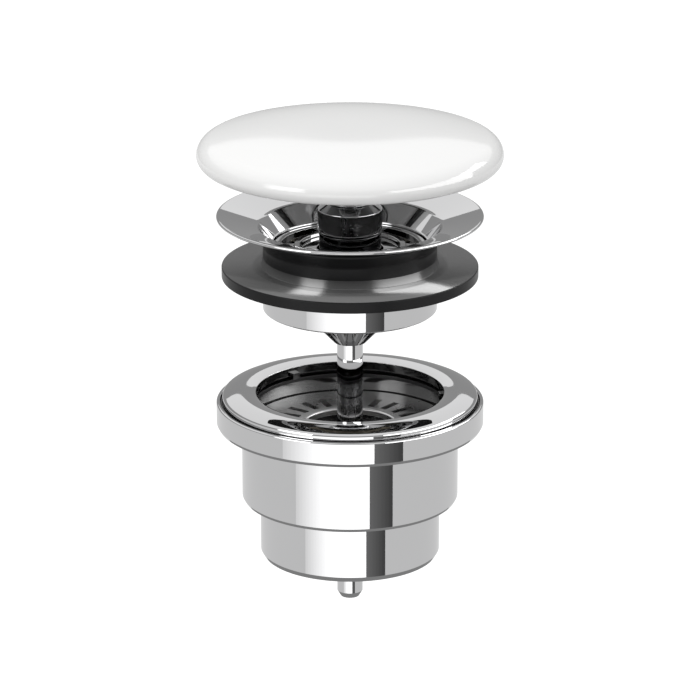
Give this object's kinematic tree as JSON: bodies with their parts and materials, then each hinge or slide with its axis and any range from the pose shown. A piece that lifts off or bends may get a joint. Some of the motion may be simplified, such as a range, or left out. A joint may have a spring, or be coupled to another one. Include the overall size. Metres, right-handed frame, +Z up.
{
  "type": "pop up basin waste",
  "caption": "Push-to-close basin waste: ceramic cap on a sprung stem over a dished chrome flange, with a central screw that draws the stepped body up under the basin.",
  "frame": {"origin": "on the axis, in the plane of the rubber washer's underside, where it rests on the basin floor", "axes": "+Z up along the axis towards the cap, -Y towards the camera of the picture, +X to its right"},
  "size_m": [0.0702, 0.0702, 0.1142],
  "materials": {
    "white_ceramic": "glossy white glaze",
    "polished_chrome": "polished chrome plate",
    "dark_chrome": "dark polished plate",
    "black_rubber": "satin moulded rubber",
    "brass": "turned brass",
    "spring_steel": "drawn wire and bright steel",
    "grey_acetal": "moulded acetal"
  },
  "bodies": {
    "flange_unit": {"flange": "polished_chrome", "strainer_grille": "polished_chrome", "flange_washer": "black_rubber", "lower_collar": "polished_chrome", "cartridge_housing": "polished_chrome", "stem_o_ring": "black_rubber", "housing_lock_nut": "brass", "cartridge_core": "grey_acetal", "return_spring": "spring_steel", "screw_washer": "grey_acetal"},
    "cap_unit": {"ceramic_cap": "white_ceramic", "cap_insert": "polished_chrome", "cap_seal": "black_rubber", "head_stud": "spring_steel", "stem_head": "polished_chrome", "plunger": "dark_chrome", "cam_clip": "spring_steel"},
    "cam_unit": {"cam_ring": "grey_acetal"},
    "screw_unit": {"draw_screw": "polished_chrome"},
    "body_unit": {"sealing_ring": "polished_chrome", "body_gasket": "black_rubber", "waste_body": "polished_chrome", "body_strainer": "polished_chrome", "body_bridge": "polished_chrome", "bridge_bush": "brass"}
  },
  "joints": [
    {"name": "cap_press", "type": "slide", "parent": "flange_unit", "child": "cap_unit", "axis": [0, 0, -1], "range_m": [0, 0.0105], "stiffness_N_per_m": 1200, "springref_m": -0.004, "deforming": ["return_spring"]},
    {"name": "cam_turn", "type": "hinge", "parent": "cap_unit", "child": "cam_unit", "pos_m": [0, 0, 0.0042], "axis": [0, 0, 1], "range_deg": [0, 60]},
    {"name": "screw_turn", "type": "hinge", "parent": "flange_unit", "child": "screw_unit", "pos_m": [0, 0, -0.0112], "axis": [0, 0, 1], "range_deg": [-9001, 0]},
    {"name": "body_lift", "type": "slide", "parent": "flange_unit", "child": "body_unit", "axis": [0, 0, 1], "range_m": [0, 0.025]}
  ],
  "couplings": [
    {"joint": "cam_turn", "follows": "cap_press", "rad_per_m": 99.7},
    {"joint": "screw_turn", "follows": "body_lift", "rad_per_m": -6283.2}
  ]
}
